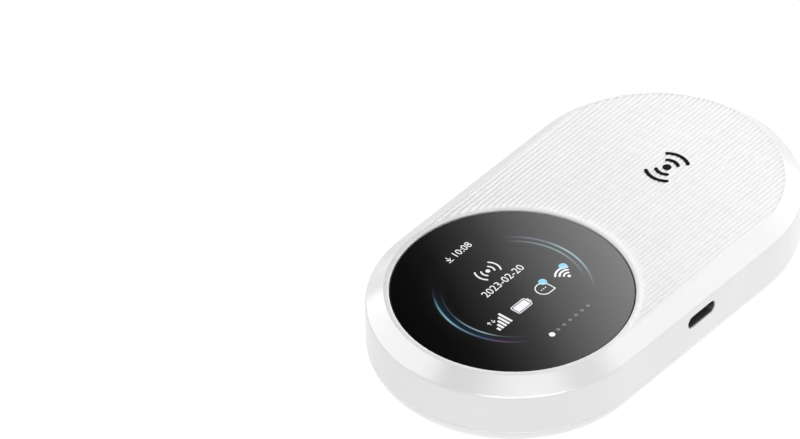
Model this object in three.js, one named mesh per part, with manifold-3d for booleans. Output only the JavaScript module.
// A pocket mobile hotspot: a flat, round-ended shell with a round touch display at one end.
// Millimetres. X runs along the body with the display at -X, Y across it with the keys at +Y
// and the charging port at -Y, Z up out of the display face. The origin is the bottom centre.
import * as THREE from 'three';
import { mergeVertices } from 'three/addons/utils/BufferGeometryUtils.js';
import Module from 'manifold-3d';

const wasm = await Module();
wasm.setup();

// ---- driving dimensions ----------------------------------------------------------------

const ARC_STEPS = 24; // straight pieces in each round end
const ROUND_STEPS = 32; // straight pieces in a full circle
const ARC_X = 24; // the centres of the two round ends lie at x = -ARC_X and x = +ARC_X

// Outside of the body: radii are measured from the line between the two arc centres.
const CREASE = { radius: 30.2, z: 14.3 }; // where the side band meets the bevel
const SEAM = { radius: 30.1, z: 5 }; // joint between the front housing and the back cover
const FIELD = { radius: 26.4, z: 17.4 }; // flat ribbed face inside the bevel
const BASE_ROUNDING = 7.2; // how far the back cover's edge curls in below the seam

// Ribs moulded into the face, all running along X.
const RIB_COUNT = 51;
const RIB_PITCH = (2 * FIELD.radius) / RIB_COUNT;
const RIB_DEPTH = 0.2;
const RIB_GROOVE = 0.6; // width of the groove between two ribs

// Display window.
const DISPLAY_X = -ARC_X;
const LENS = { radius: 25.2, bottom: 16, top: 17.1, bevel: 0.15 };
const LENS_GAP = 0.15; // between the lens and the lip round it
const LIP_WIDTH = 1.05;
const ADHESIVE = 0.2;
const SEAT_THICKNESS = 1;
const WINDOW_RADIUS = 22; // hole in the housing behind the lens
const SEAT_Z = LENS.bottom - ADHESIVE;
const SEAT_UNDER = SEAT_Z - SEAT_THICKNESS;
const LCD = { radius: 20.6, bottom: 14.5 };
const LCD_FRAME = { radius: 21.7, bottom: 13.3, top: 15.9, floor: 14.4 };
const PLATE = { radius: 22.4, bottom: 12.8, top: 13.2 };

// Inside of the front housing.
const INNER_RADIUS = 28.4;
const INNER_TOP_RADIUS = FIELD.radius - 1;
const INNER_CREASE_Z = 13.6;
const ROOF_Z = 16;

// Chassis, circuit board and battery, stacked from the board down.
const BOARD = { radius: 27.2, bottom: 8.2, top: 9.2 };
const CHASSIS = { radius: 28.1, bottom: 6.9, top: BOARD.bottom };
const BAY_WALL = 1.1;
const BAY_GAP = 0.6;
const BAY_BOTTOM = 3.2;
const BATTERY = { x: -6, length: 56, width: 44, bottom: 1.6, top: 6.7, corner: 2.5 };
const BATTERY_END = BATTERY.x + BATTERY.length / 2;
const BATTERY_START = BATTERY.x - BATTERY.length / 2;
const PULL_TAB = { reach: 16, width: 10, thickness: 0.12 };
const CARD_OPENING = { x: [27.5, 43.5], y: [-7.5, 7.5] }; // in the chassis, round the card socket
const CONTACT_OPENING = { x: [22, 27.2], y: [-6, 6] }; // in the chassis, round the battery contacts
const VENT = { x: [-30, 4], y: [-14, 14] }; // in the chassis, above the battery

// Back cover.
const FLOOR = 1.3;
const FOAM = { x: [-24, 12], y: [-15, 15], top: 1.5 };
const COVER_LIP = { outer: 28.2, inner: 27.4, top: 6.3 };

// Charging port on the -Y side.
const PORT = { x: 0.55, z: 11, width: 8.96, height: 3.14 };
const PORT_SHELL = { width: 8.84, height: 3.02, wall: 0.21, mouth: -29.95, back: -22 };
const PORT_LEG = { apart: 5.2, width: 0.8, y: [-25.6, -24.2] };
const TONGUE = { width: 6.7, thickness: 0.7, tip: -29, plug: 1.6 };

// Keys on the +Y side.
const KEY = { width: 8.6, height: 3.9, gap: 0.15, proud: 30.5, z: 11.1 };
const KEY_EARS = { width: 10.6, height: 3.4, front: 28.2, back: 27.6 };
const MENU_KEY_X = 8.2;
const POWER_KEY_X = 20.3;
const PLUNGER = { radius: 0.85, back: 25.6, front: 26.9 };
const SWITCH = { width: 4.6, height: 3.4, back: 25, front: 26.2 };
const KEY_BOARD = { from: 3, to: 25, back: 24.2, top: 13.2 };

// Parts on the circuit board.
const CANS = [
  { name: 'modem', x: [-34, -12], y: [-11, 11], chip: 12 },
  { name: 'wifi', x: [12, 28], y: [-19, -5], chip: 7 },
  { name: 'power', x: [30, 44], y: [-9, 9], chip: 6 },
];
const CAN = { top: 11, wall: 0.25 };
const CHIP_TOP = 10.2;
const THERMAL_PAD = { x: [-31, -15], y: [-8, 8] };
const LCD_CONNECTOR = { x: [3.5, 7.5], y: [-5.5, 5.5], top: 10.4 };
const LCD_FLEX_WIDTH = 10;
const FLEX = 0.16; // thickness of the display's flat cable and of the antenna clips

// Antenna foils inside the side band, each with a spring clip that stands on the board.
const FOIL = { inner: 27.95, outer: 28.25, bottom: 9.8, top: 13.2 };
const CLIP_INSET = 1.6;
const CLIP_WIDTH = 1.8;

// Battery contacts and card socket, both reached from below.
const CONTACTS = { x: [23.2, 26.4], width: 10.8, bottom: 4.4, pitch: 2.5, blade: 0.7, slot: 1.2 };
const CARD_SOCKET = { x: [28.2, 42.8], width: 12, bottom: 6.7 };
const CARD = { x: [29.2, 41.5], width: 8.8, z: [7.1, 7.8] };

// Screws go up through the chassis and the board into bosses of the front housing.
const SCREW = { head: 1.5, headHeight: 0.7, shank: 0.75, tip: 12, drive: 0.6, driveDepth: 0.35 };
const BOSS = { radius: 1.9, top: 15.5, bore: 0.9, bottom: BOARD.top + 0.1 };
const SCREW_POINTS = [
  [-45, 13],
  [-45, -13],
  [-14, 25.5],
  [-14, -25.5],
  [29, 25.2],
  [29, -25.2],
];

// ---- materials -------------------------------------------------------------------------

const plastic = (color, roughness) => new THREE.MeshStandardMaterial({ color, roughness, metalness: 0 });
const metal = (color, roughness) => new THREE.MeshStandardMaterial({ color, roughness, metalness: 1 });

const WHITE_SHELL = plastic(0xf1f1f1, 0.35);
const WHITE_KEY = plastic(0xf3f3f3, 0.3);
const BLACK_GLASS = plastic(0x0b0b0c, 0.05);
const DARK_PANEL = plastic(0x101014, 0.2);
const DARK_PLASTIC = plastic(0x26272a, 0.6);
const BLACK_TAPE = plastic(0x141414, 0.8);
const BOARD_GREEN = plastic(0x14402b, 0.5);
const CHIP_BLACK = plastic(0x1b1b1d, 0.5);
const FOAM_GREY = plastic(0x3b3b3d, 0.9);
const BATTERY_WRAP = plastic(0x2d2f33, 0.5);
const FLEX_AMBER = plastic(0x8a5a1c, 0.4);
const CARD_WHITE = plastic(0xd8d8d4, 0.5);
const STEEL = metal(0xb9bcc0, 0.35);
const SPRING_GOLD = metal(0xc8a14a, 0.3);

// ---- solid helpers ---------------------------------------------------------------------

const body = new THREE.Group();

function add(name, geometry, material) {
  const mesh = new THREE.Mesh(geometry, material);
  mesh.name = name;
  body.add(mesh);
}

function toSolid(geometry) {
  const bare = geometry.clone();
  bare.deleteAttribute('normal');
  bare.deleteAttribute('uv');
  const merged = mergeVertices(bare, 1e-4);
  return new wasm.Manifold(
    new wasm.Mesh({
      numProp: 3,
      vertProperties: new Float32Array(merged.attributes.position.array),
      triVerts: new Uint32Array(merged.index.array),
    }),
  );
}

function toGeometry(solid) {
  const mesh = solid.getMesh();
  const geometry = new THREE.BufferGeometry();
  geometry.setAttribute('position', new THREE.BufferAttribute(mesh.vertProperties, 3));
  geometry.setIndex(new THREE.BufferAttribute(mesh.triVerts, 1));
  return geometry;
}

// One solid with the listed tools joined on and the listed tools cut away.
function carve(start, { join = [], cut = [] }) {
  let solid = toSolid(start);
  for (const tool of join) solid = solid.add(toSolid(tool));
  for (const tool of cut) solid = solid.subtract(toSolid(tool));
  return toGeometry(solid);
}

// Points of a round-ended outline, anticlockwise from the +X end's lower tangent point.
function outline(radius) {
  const points = [];
  for (const side of [1, -1]) {
    for (let step = 0; step <= ARC_STEPS; step += 1) {
      const turn = Math.PI * (step / ARC_STEPS - side / 2);
      points.push([side * ARC_X + radius * Math.cos(turn), radius * Math.sin(turn)]);
    }
  }
  return points;
}

// A closed solid whose outline has the given radius at each height, lowest level first.
function roundEnded(levels) {
  const rings = levels.map(({ radius, z }) => outline(radius).map(([x, y]) => [x, y, z]));
  const perRing = rings[0].length;
  const triangles = [];
  for (let level = 0; level < levels.length - 1; level += 1) {
    for (let i = 0; i < perRing; i += 1) {
      const a = level * perRing + i;
      const b = level * perRing + ((i + 1) % perRing);
      triangles.push(a, b, b + perRing, a, b + perRing, a + perRing);
    }
  }
  const top = (levels.length - 1) * perRing;
  for (let i = 1; i < perRing - 1; i += 1) {
    triangles.push(0, i + 1, i);
    triangles.push(top, top + i, top + i + 1);
  }
  const geometry = new THREE.BufferGeometry();
  geometry.setAttribute('position', new THREE.Float32BufferAttribute(rings.flat(2), 3));
  geometry.setIndex(triangles);
  return geometry;
}

function box([x0, x1], [y0, y1], [z0, z1]) {
  const geometry = new THREE.BoxGeometry(x1 - x0, y1 - y0, z1 - z0);
  return geometry.translate((x0 + x1) / 2, (y0 + y1) / 2, (z0 + z1) / 2);
}

function upright(x, y, radius, z0, z1, steps = ROUND_STEPS) {
  const geometry = new THREE.CylinderGeometry(radius, radius, z1 - z0, steps);
  return geometry.rotateX(Math.PI / 2).translate(x, y, (z0 + z1) / 2);
}

function disc(radius, z0, z1) {
  return upright(DISPLAY_X, 0, radius, z0, z1, 2 * ARC_STEPS);
}

// A cylinder lying along Y.
function pin(x, z, radius, y0, y1) {
  return new THREE.CylinderGeometry(radius, radius, y1 - y0, 16).translate(x, (y0 + y1) / 2, z);
}

// A flat bar with round ends, standing in the XZ plane between two values of Y.
function pill(x, z, width, height, y0, y1) {
  const radius = height / 2;
  const reach = (width - height) / 2;
  const shape = new THREE.Shape();
  shape.absarc(reach, 0, radius, -Math.PI / 2, Math.PI / 2, false);
  shape.absarc(-reach, 0, radius, Math.PI / 2, (3 * Math.PI) / 2, false);
  const geometry = new THREE.ExtrudeGeometry(shape, { depth: y1 - y0, bevelEnabled: false, curveSegments: 8 });
  return geometry.rotateX(Math.PI / 2).translate(x, y1, z);
}

// A block with round vertical corners.
function roundedBlock([x0, x1], [y0, y1], [z0, z1], corner) {
  const shape = new THREE.Shape();
  shape.moveTo(x0 + corner, y0);
  shape.absarc(x1 - corner, y0 + corner, corner, -Math.PI / 2, 0, false);
  shape.absarc(x1 - corner, y1 - corner, corner, 0, Math.PI / 2, false);
  shape.absarc(x0 + corner, y1 - corner, corner, Math.PI / 2, Math.PI, false);
  shape.absarc(x0 + corner, y0 + corner, corner, Math.PI, (3 * Math.PI) / 2, false);
  const geometry = new THREE.ExtrudeGeometry(shape, { depth: z1 - z0, bevelEnabled: false, curveSegments: 5 });
  return geometry.translate(0, 0, z0);
}

// A strip of even thickness that follows [x, z] points and has a width along Y.
function strip(points, thickness, y0, y1) {
  const half = thickness / 2;
  const at = points.map(([x, z]) => new THREE.Vector2(x, z));
  const offset = at.map((point, i) => {
    const before = at[Math.max(i - 1, 0)];
    const after = at[Math.min(i + 1, at.length - 1)];
    const along = after.clone().sub(before).normalize();
    return new THREE.Vector2(-along.y, along.x).multiplyScalar(half);
  });
  const left = at.map((point, i) => point.clone().add(offset[i]));
  const right = at.map((point, i) => point.clone().sub(offset[i])).reverse();
  const shape = new THREE.Shape([...left, ...right]);
  const geometry = new THREE.ExtrudeGeometry(shape, { depth: y1 - y0, bevelEnabled: false });
  return geometry.rotateX(Math.PI / 2).translate(0, y1, 0);
}

// A band that follows the inside of a round end from one angle to another.
function endBand(side, fromDegrees, toDegrees, inner, outer, z0, z1) {
  const from = THREE.MathUtils.degToRad(fromDegrees);
  const to = THREE.MathUtils.degToRad(toDegrees);
  const shape = new THREE.Shape();
  shape.absarc(side * ARC_X, 0, outer, from, to, false);
  shape.absarc(side * ARC_X, 0, inner, to, from, true);
  const geometry = new THREE.ExtrudeGeometry(shape, { depth: z1 - z0, bevelEnabled: false, curveSegments: 14 });
  return geometry.translate(0, 0, z0);
}

// ---- shells ----------------------------------------------------------------------------

// V-shaped cutters for the grooves, trimmed to the ribbed part of the face.
function ribGrooves() {
  const shape = new THREE.Shape([
    new THREE.Vector2(-RIB_GROOVE / 2, RIB_DEPTH),
    new THREE.Vector2(0, 0),
    new THREE.Vector2(RIB_GROOVE / 2, RIB_DEPTH),
  ]);
  const reach = ARC_X + FIELD.radius;
  const groove = new THREE.ExtrudeGeometry(shape, { depth: 2 * reach, bevelEnabled: false });
  groove.rotateX(Math.PI / 2).rotateZ(Math.PI / 2).translate(-reach, 0, FIELD.z - RIB_DEPTH);
  const grooves = [];
  for (let i = 1; i < RIB_COUNT; i += 1) {
    grooves.push(toSolid(groove.clone().translate(0, (i - RIB_COUNT / 2) * RIB_PITCH, 0)));
  }
  const ribbed = toSolid(
    roundEnded([
      { radius: FIELD.radius - 0.15, z: FIELD.z - 1 },
      { radius: FIELD.radius - 0.15, z: FIELD.z + 1 },
    ]),
  );
  const lip = toSolid(disc(LENS.radius + LENS_GAP + LIP_WIDTH, FIELD.z - 2, FIELD.z + 2));
  return wasm.Manifold.union(grooves).intersect(ribbed.subtract(lip));
}

// White shell: side band, bevel, ribbed face and the seat of the lens, in one moulding.
function frontHousing() {
  const outside = toSolid(
    roundEnded([
      SEAM,
      { radius: CREASE.radius, z: CREASE.z - 0.25 },
      { radius: CREASE.radius - 0.18, z: CREASE.z + 0.2 },
      FIELD,
    ]),
  );
  const hollow = toSolid(
    roundEnded([
      { radius: INNER_RADIUS, z: SEAM.z - 1 },
      { radius: INNER_RADIUS, z: INNER_CREASE_Z },
      { radius: INNER_TOP_RADIUS, z: ROOF_Z },
    ]),
  ).subtract(toSolid(disc(LENS.radius + LENS_GAP + LIP_WIDTH, SEAT_UNDER, ROOF_Z + 1)));
  let shell = outside.subtract(hollow);
  shell = shell.subtract(toSolid(disc(LENS.radius + LENS_GAP, SEAT_Z, FIELD.z + 1)));
  shell = shell.subtract(toSolid(disc(WINDOW_RADIUS, SEAT_UNDER - 1, SEAT_Z + 1)));
  shell = shell.subtract(toSolid(pill(PORT.x, PORT.z, PORT.width, PORT.height, -CREASE.radius - 1, -27)));
  for (const x of [MENU_KEY_X, POWER_KEY_X]) {
    const opening = pill(x, KEY.z, KEY.width + 2 * KEY.gap, KEY.height + 2 * KEY.gap, 27, CREASE.radius + 1);
    shell = shell.subtract(toSolid(opening));
  }
  for (const [x, y] of SCREW_POINTS) {
    shell = shell.add(toSolid(upright(x, y, BOSS.radius, BOSS.bottom, BOSS.top, 16)));
    shell = shell.subtract(toSolid(upright(x, y, BOSS.bore, BOSS.bottom - 1, SCREW.tip + 0.5, 12)));
  }
  return toGeometry(shell.subtract(ribGrooves()));
}

// Quarter-ellipse that curls the cover's edge in, from the floor up to the seam.
function curl(radius, floorRadius, floorZ, steps) {
  const levels = [];
  for (let step = 0; step <= steps; step += 1) {
    const turn = (Math.PI / 2) * (1 - step / steps);
    levels.push({
      radius: floorRadius + (radius - floorRadius) * Math.cos(turn),
      z: SEAM.z - (SEAM.z - floorZ) * Math.sin(turn),
    });
  }
  return levels;
}

// White shallow cup with a lip that pushes up inside the front housing.
function backCover() {
  const floorRadius = SEAM.radius - BASE_ROUNDING;
  const outside = roundEnded(curl(SEAM.radius, floorRadius, 0, 6));
  const lip = roundEnded([
    { radius: COVER_LIP.outer, z: SEAM.z - 0.5 },
    { radius: COVER_LIP.outer, z: COVER_LIP.top },
  ]);
  const inside = curl(COVER_LIP.inner, floorRadius, FLOOR, 4);
  inside.push({ radius: COVER_LIP.inner, z: COVER_LIP.top + 1 });
  return carve(outside, { join: [lip], cut: [roundEnded(inside)] });
}

// Dark chassis: a plate under the board, with a walled bay for the battery below it.
function chassis() {
  const x0 = BATTERY_START - BAY_GAP;
  const x1 = BATTERY_END + BAY_GAP;
  const y1 = BATTERY.width / 2 + BAY_GAP;
  const plate = roundEnded([
    { radius: CHASSIS.radius, z: CHASSIS.bottom },
    { radius: CHASSIS.radius, z: CHASSIS.top },
  ]);
  const bayOuter = roundedBlock(
    [x0 - BAY_WALL, x1 + BAY_WALL],
    [-y1 - BAY_WALL, y1 + BAY_WALL],
    [BAY_BOTTOM, CHASSIS.bottom + 0.5],
    BATTERY.corner,
  );
  const bayInner = roundedBlock([x0, x1], [-y1, y1], [BAY_BOTTOM - 1, CHASSIS.bottom], BATTERY.corner);
  const holes = SCREW_POINTS.map(([x, y]) => upright(x, y, 1, CHASSIS.bottom - 1, CHASSIS.top + 1, 12));
  const through = [BAY_BOTTOM - 1, CHASSIS.top + 1];
  const openings = [CARD_OPENING, CONTACT_OPENING, VENT].map(({ x, y }) => box(x, y, through));
  return carve(plate, { join: [bayOuter], cut: [bayInner, ...holes, ...openings] });
}

function addShells() {
  add('front_housing', frontHousing(), WHITE_SHELL);
  add('back_cover', backCover(), WHITE_SHELL);
  add('chassis', chassis(), DARK_PLASTIC);
}

// ---- display ---------------------------------------------------------------------------

function addDisplay() {
  const lens = new THREE.LatheGeometry(
    [
      new THREE.Vector2(0, LENS.bottom),
      new THREE.Vector2(LENS.radius, LENS.bottom),
      new THREE.Vector2(LENS.radius, LENS.top - LENS.bevel),
      new THREE.Vector2(LENS.radius - LENS.bevel, LENS.top),
      new THREE.Vector2(0, LENS.top),
    ],
    2 * ARC_STEPS,
  );
  add('lens', lens.rotateX(Math.PI / 2).translate(DISPLAY_X, 0, 0), BLACK_GLASS);
  const ring = carve(disc(LENS.radius - 0.1, SEAT_Z, LENS.bottom), {
    cut: [disc(WINDOW_RADIUS + 0.4, SEAT_Z - 1, LENS.bottom + 1)],
  });
  add('lens_adhesive', ring, BLACK_TAPE);
  add('lcd_panel', disc(LCD.radius, LCD.bottom, LENS.bottom), DARK_PANEL);
  const frame = carve(disc(LCD_FRAME.radius, LCD_FRAME.bottom, LCD_FRAME.top), {
    cut: [disc(LCD.radius + 0.1, LCD_FRAME.floor, LCD_FRAME.top + 1)],
  });
  add('lcd_frame', frame, DARK_PLASTIC);
  add('display_plate', disc(PLATE.radius, PLATE.bottom, PLATE.top), STEEL);
  const onConnector = LCD_CONNECTOR.top + 0.1;
  const flexPath = [
    [-1.9, LCD.bottom + 0.1],
    [-1.2, LCD.bottom - 0.6],
    [-0.4, 12.2],
    [1, onConnector + 0.4],
    [LCD_CONNECTOR.x[0] - 0.5, onConnector],
    [LCD_CONNECTOR.x[1] + 0.5, onConnector],
  ];
  add('lcd_flex', strip(flexPath, FLEX, -LCD_FLEX_WIDTH / 2, LCD_FLEX_WIDTH / 2), FLEX_AMBER);
  const connector = box(LCD_CONNECTOR.x, LCD_CONNECTOR.y, [BOARD.top, LCD_CONNECTOR.top]);
  add('lcd_connector', connector, CHIP_BLACK);
}

// ---- circuit board ---------------------------------------------------------------------

function addCan({ name, x, y, chip }) {
  const inside = box(
    [x[0] + CAN.wall, x[1] - CAN.wall],
    [y[0] + CAN.wall, y[1] - CAN.wall],
    [BOARD.top - 1, CAN.top - CAN.wall],
  );
  add(`${name}_shield`, carve(box(x, y, [BOARD.top, CAN.top]), { cut: [inside] }), STEEL);
  const cx = (x[0] + x[1]) / 2;
  const cy = (y[0] + y[1]) / 2;
  const half = chip / 2;
  const block = box([cx - half, cx + half], [cy - half, cy + half], [BOARD.top, CHIP_TOP]);
  add(`${name}_chip`, block, CHIP_BLACK);
}

function addBoard() {
  const board = roundEnded([
    { radius: BOARD.radius, z: BOARD.bottom },
    { radius: BOARD.radius, z: BOARD.top },
  ]);
  const holes = SCREW_POINTS.map(([x, y]) => upright(x, y, 1.2, BOARD.bottom - 1, BOARD.top + 1, 12));
  add('main_board', carve(board, { cut: holes }), BOARD_GREEN);
  for (const can of CANS) addCan(can);
  add('thermal_pad', box(THERMAL_PAD.x, THERMAL_PAD.y, [CAN.top, PLATE.bottom]), FOAM_GREY);
}

function addPort() {
  const { width, height, wall, mouth, back } = PORT_SHELL;
  const legs = [-1, 1].map((side) => {
    const x = PORT.x + (side * PORT_LEG.apart) / 2;
    const half = PORT_LEG.width / 2;
    return box([x - half, x + half], PORT_LEG.y, [BOARD.top, PORT.z - height / 2 + wall / 2]);
  });
  const shell = carve(pill(PORT.x, PORT.z, width, height, mouth, back), {
    join: legs,
    cut: [pill(PORT.x, PORT.z, width - 2 * wall, height - 2 * wall, mouth - 1, back - wall)],
  });
  add('usb_shell', shell, STEEL);
  const half = TONGUE.width / 2;
  const edge = TONGUE.thickness / 2;
  const inset = wall + 0.05;
  const rear = back - inset;
  const blade = box([PORT.x - half, PORT.x + half], [TONGUE.tip, rear], [PORT.z - edge, PORT.z + edge]);
  const plug = pill(PORT.x, PORT.z, width - 2 * inset, height - 2 * inset, rear - TONGUE.plug, rear);
  add('usb_tongue', carve(blade, { join: [plug] }), DARK_PLASTIC);
}

// ---- keys ------------------------------------------------------------------------------

function addKey(name, x) {
  const { width, height, front, back } = KEY_EARS;
  const ears = box([x - width / 2, x + width / 2], [back, front], [KEY.z - height / 2, KEY.z + height / 2]);
  const stem = pin(x, KEY.z, PLUNGER.radius, PLUNGER.front + 0.05, back + 0.1);
  const cap = pill(x, KEY.z, KEY.width, KEY.height, back + 0.1, KEY.proud);
  add(`${name}_key`, carve(cap, { join: [ears, stem] }), WHITE_KEY);
  add(`${name}_plunger`, pin(x, KEY.z, PLUNGER.radius, PLUNGER.back, PLUNGER.front), CHIP_BLACK);
  const half = SWITCH.width / 2;
  const rise = SWITCH.height / 2;
  const housing = carve(box([x - half, x + half], [SWITCH.back, SWITCH.front], [KEY.z - rise, KEY.z + rise]), {
    cut: [pin(x, KEY.z, PLUNGER.radius + 0.1, SWITCH.back + 0.05, SWITCH.front + 1)],
  });
  add(`${name}_switch`, housing, STEEL);
}

function addKeys() {
  const { from, to, back, top } = KEY_BOARD;
  add('key_board', box([from, to], [back, SWITCH.back], [BOARD.top, top]), BOARD_GREEN);
  addKey('menu', MENU_KEY_X);
  addKey('power', POWER_KEY_X);
}

// ---- antennas --------------------------------------------------------------------------

function addAntennas() {
  const { inner, outer, bottom, top } = FOIL;
  add('main_antenna', endBand(-1, 130, 230, inner, outer, bottom, top), SPRING_GOLD);
  add('diversity_antenna', endBand(1, -50, 50, inner, outer, bottom, top), SPRING_GOLD);
  add('wifi_antenna_a', box([-24, -4], [inner, outer], [bottom, top]), SPRING_GOLD);
  add('wifi_antenna_b', box([10, 26], [-outer, -inner], [bottom, top]), SPRING_GOLD);
  const row = inner - CLIP_INSET;
  const clips = {
    main_antenna_clip: [-ARC_X - row, 0, 180],
    diversity_antenna_clip: [ARC_X + row, 0, 0],
    wifi_antenna_clip_a: [-20, row, 90],
    wifi_antenna_clip_b: [16, -row, -90],
  };
  for (const [name, [x, y, turn]] of Object.entries(clips)) {
    const path = [
      [-1.6, BOARD.top + 0.1],
      [0, BOARD.top + 0.1],
      [0.5, BOARD.top + 0.8],
      [1.5, BOARD.top + 1.4],
      [1.5, BOARD.top + 2.4],
    ];
    const clip = strip(path, FLEX, -CLIP_WIDTH / 2, CLIP_WIDTH / 2);
    add(name, clip.rotateZ(THREE.MathUtils.degToRad(turn)).translate(x, y, 0), SPRING_GOLD);
  }
}

// ---- battery, its contacts and the card ------------------------------------------------

function addBattery() {
  const half = BATTERY.width / 2;
  const { bottom, top, corner } = BATTERY;
  const pack = roundedBlock([BATTERY_START, BATTERY_END], [-half, half], [bottom, top], corner);
  add('battery_pack', pack, BATTERY_WRAP);
  const tabPath = [
    [BATTERY_START + PULL_TAB.reach, top + 0.1],
    [BATTERY_START - 0.1, top + 0.1],
    [BATTERY_START - 0.3, top - 0.1],
    [BATTERY_START - 0.3, bottom + 0.8],
  ];
  const tab = strip(tabPath, PULL_TAB.thickness, -PULL_TAB.width / 2, PULL_TAB.width / 2);
  add('battery_pull_tab', tab, CARD_WHITE);
  add('battery_foam', box(FOAM.x, FOAM.y, [FLOOR, FOAM.top]), FOAM_GREY);
}

function addContacts() {
  const { x, width, bottom, pitch, blade, slot } = CONTACTS;
  const places = [-1.5, -0.5, 0.5, 1.5].map((place) => place * pitch);
  const reach = [x[0] - 0.7, x[0] + 1.4];
  const slots = places.map((y) => box(reach, [y - slot / 2, y + slot / 2], [bottom - 0.4, 7]));
  const block = box(x, [-width / 2, width / 2], [bottom, BOARD.bottom]);
  add('battery_connector', carve(block, { cut: slots }), CHIP_BLACK);
  const path = [
    [x[0] + 1.2, bottom + 2.3],
    [x[0] + 0.2, bottom + 1.8],
    [BATTERY_END + 0.2, bottom + 1.2],
    [x[0], bottom + 0.3],
    [x[0] + 1, bottom + 0.1],
  ];
  places.forEach((y, i) => {
    add(`battery_blade_${i + 1}`, strip(path, 0.2, y - blade / 2, y + blade / 2), SPRING_GOLD);
  });
}

function addCard() {
  const { x, width, bottom } = CARD_SOCKET;
  const half = width / 2;
  const mouth = box([CARD.x[0] - 0.2, x[1] + 1], [-CARD.width / 2 - 0.2, CARD.width / 2 + 0.2], [7, 7.9]);
  const socket = carve(box(x, [-half, half], [bottom, BOARD.bottom]), { cut: [mouth] });
  add('sim_socket', socket, STEEL);
  add('sim_card', box(CARD.x, [-CARD.width / 2, CARD.width / 2], CARD.z), CARD_WHITE);
}

// ---- screws ----------------------------------------------------------------------------

function addScrews() {
  SCREW_POINTS.forEach(([x, y], i) => {
    const headTop = CHASSIS.bottom;
    const bottom = headTop - SCREW.headHeight;
    const head = upright(x, y, SCREW.head, bottom, headTop, 16);
    const shank = upright(x, y, SCREW.shank, headTop - 0.1, SCREW.tip, 10);
    const socket = upright(x, y, SCREW.drive, bottom - 1, bottom + SCREW.driveDepth, 6);
    add(`screw_${i + 1}`, carve(head, { join: [shank], cut: [socket] }), STEEL);
  });
}

addShells();
addDisplay();
addBoard();
addPort();
addKeys();
addAntennas();
addBattery();
addContacts();
addCard();
addScrews();

export default body;
